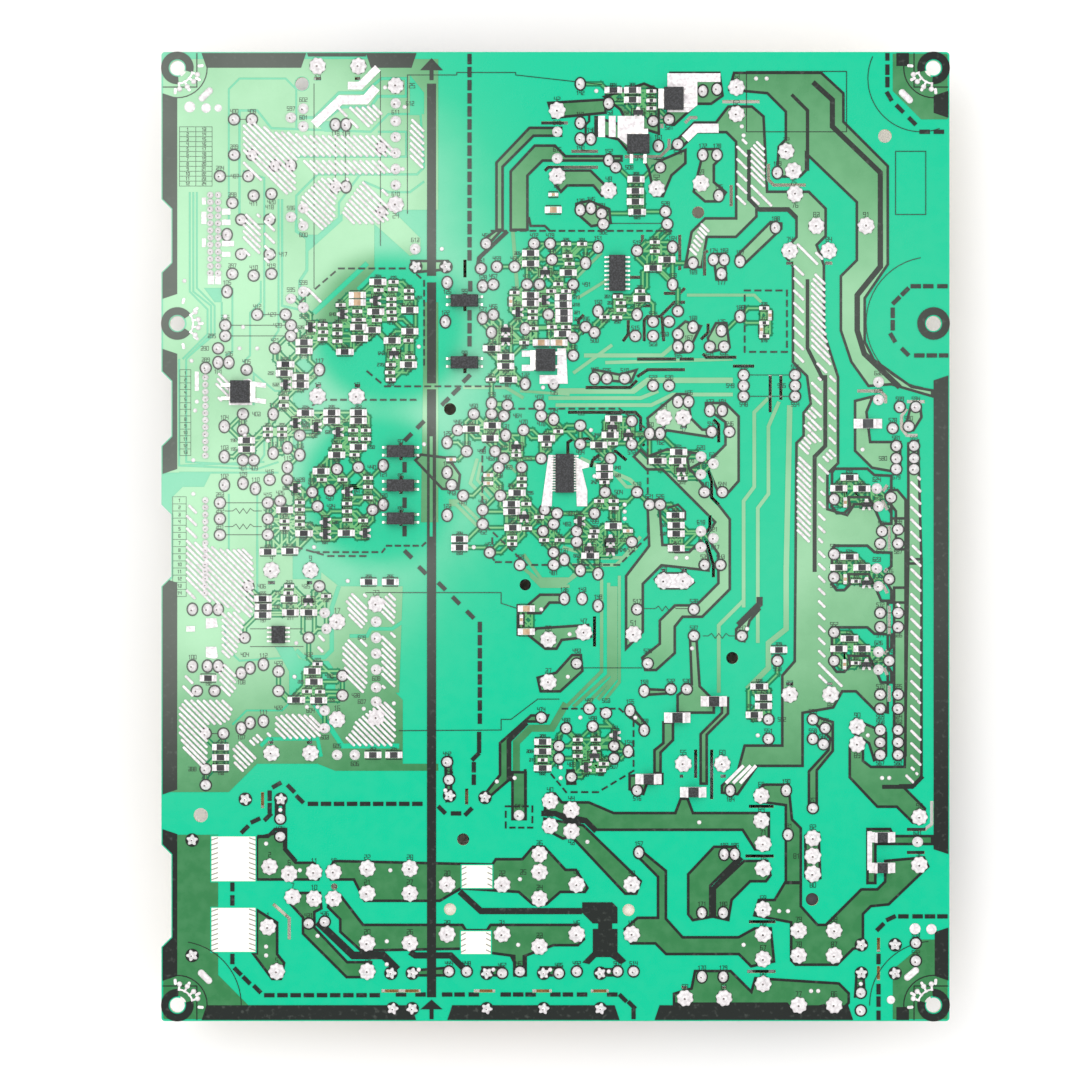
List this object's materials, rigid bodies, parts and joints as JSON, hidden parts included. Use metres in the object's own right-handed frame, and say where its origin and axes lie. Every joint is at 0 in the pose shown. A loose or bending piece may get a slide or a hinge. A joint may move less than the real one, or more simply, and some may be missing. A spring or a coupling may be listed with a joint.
{
  "type": "power supply board",
  "caption": "Switch-mode power supply board seen from its solder side, with surface-mounted parts there and wound parts, heatsinks and capacitors underneath.",
  "frame": {"origin": "centre of the four corner fixing holes, on the solder face of the laminate", "axes": "+Z out of the solder face, +Y along the long side of the board, +X along its short side"},
  "size_m": [0.2222, 0.2732, 0.0284],
  "materials": {
    "board": "green solder mask on a paper-epoxy laminate",
    "copper_foil": "copper under green solder mask",
    "printed_lines": "printed ink",
    "printed_discs": "printed ink",
    "tinned_tracks": "tinned copper",
    "solder_stripes": "solder",
    "hole_contacts": "solder",
    "eyelet_joints": "bright solder",
    "ring_joints": "bright solder",
    "oval_joints": "bright solder",
    "plain_joints": "bright solder",
    "star_joints": "bright solder",
    "header_joints": "bright solder",
    "chip_solder": "bright solder",
    "chip_resistors": "coated ceramic",
    "chip_capacitors": "fired ceramic",
    "chip_diodes": "moulded epoxy",
    "small_transistors": "moulded epoxy",
    "sense_resistor": "coated ceramic",
    "power_diodes": "moulded epoxy",
    "power_transistors": "moulded epoxy",
    "optocouplers": "moulded epoxy",
    "controller_ic": "moulded epoxy",
    "sixteen_pin_ic": "moulded epoxy",
    "eight_pin_ic": "moulded epoxy",
    "ic_leads": "tin plate",
    "component_leads": "tinned copper",
    "jumper_wires": "tinned copper",
    "output_heatsink": "extruded",
    "standby_heatsink": "extruded",
    "bus_heatsink": "extruded",
    "input_heatsink": "extruded",
    "driver_heatsink": "extruded",
    "power_packages": "moulded epoxy",
    "heatsink_screws": "zinc plate",
    "bridge_rectifiers": "moulded epoxy",
    "transformer_cores": "ferrite",
    "transformer_bobbins": "moulded phenolic",
    "transformer_windings": "polyester tape",
    "choke_core": "ferrite",
    "choke_bobbin": "moulded phenolic",
    "choke_winding": "enamelled copper",
    "filter_cores": "ferrite",
    "filter_windings": "enamelled copper",
    "filter_bases": "moulded nylon",
    "bulk_capacitor": "sleeved can",
    "output_capacitors": "sleeved can",
    "small_capacitors": "sleeved can",
    "x_capacitors": "moulded case",
    "y_capacitors": "dipped ceramic",
    "relay": "moulded case",
    "fuse": "clear tube",
    "fuse_clips": "tinned spring brass",
    "inlet_header": "moulded nylon",
    "board_headers": "moulded nylon",
    "header_pins": "tin plate"
  },
  "bodies": {
    "root": {"board": "board", "copper_foil": "copper_foil", "printed_lines": "printed_lines", "printed_discs": "printed_discs", "tinned_tracks": "tinned_tracks", "solder_stripes": "solder_stripes", "hole_contacts": "hole_contacts", "eyelet_joints": "eyelet_joints", "ring_joints": "ring_joints", "oval_joints": "oval_joints", "plain_joints": "plain_joints", "star_joints": "star_joints", "header_joints": "header_joints", "chip_solder": "chip_solder", "chip_resistors": "chip_resistors", "chip_capacitors": "chip_capacitors", "chip_diodes": "chip_diodes", "small_transistors": "small_transistors", "sense_resistor": "sense_resistor", "power_diodes": "power_diodes", "power_transistors": "power_transistors", "optocouplers": "optocouplers", "controller_ic": "controller_ic", "sixteen_pin_ic": "sixteen_pin_ic", "eight_pin_ic": "eight_pin_ic", "ic_leads": "ic_leads", "component_leads": "component_leads", "jumper_wires": "jumper_wires", "output_heatsink": "output_heatsink", "standby_heatsink": "standby_heatsink", "bus_heatsink": "bus_heatsink", "input_heatsink": "input_heatsink", "driver_heatsink": "driver_heatsink", "power_packages": "power_packages", "heatsink_screws": "heatsink_screws", "bridge_rectifiers": "bridge_rectifiers", "transformer_cores": "transformer_cores", "transformer_bobbins": "transformer_bobbins", "transformer_windings": "transformer_windings", "choke_core": "choke_core", "choke_bobbin": "choke_bobbin", "choke_winding": "choke_winding", "filter_cores": "filter_cores", "filter_windings": "filter_windings", "filter_bases": "filter_bases", "bulk_capacitor": "bulk_capacitor", "output_capacitors": "output_capacitors", "small_capacitors": "small_capacitors", "x_capacitors": "x_capacitors", "y_capacitors": "y_capacitors", "relay": "relay", "fuse": "fuse", "fuse_clips": "fuse_clips", "inlet_header": "inlet_header", "board_headers": "board_headers", "header_pins": "header_pins"}
  },
  "joints": []
}
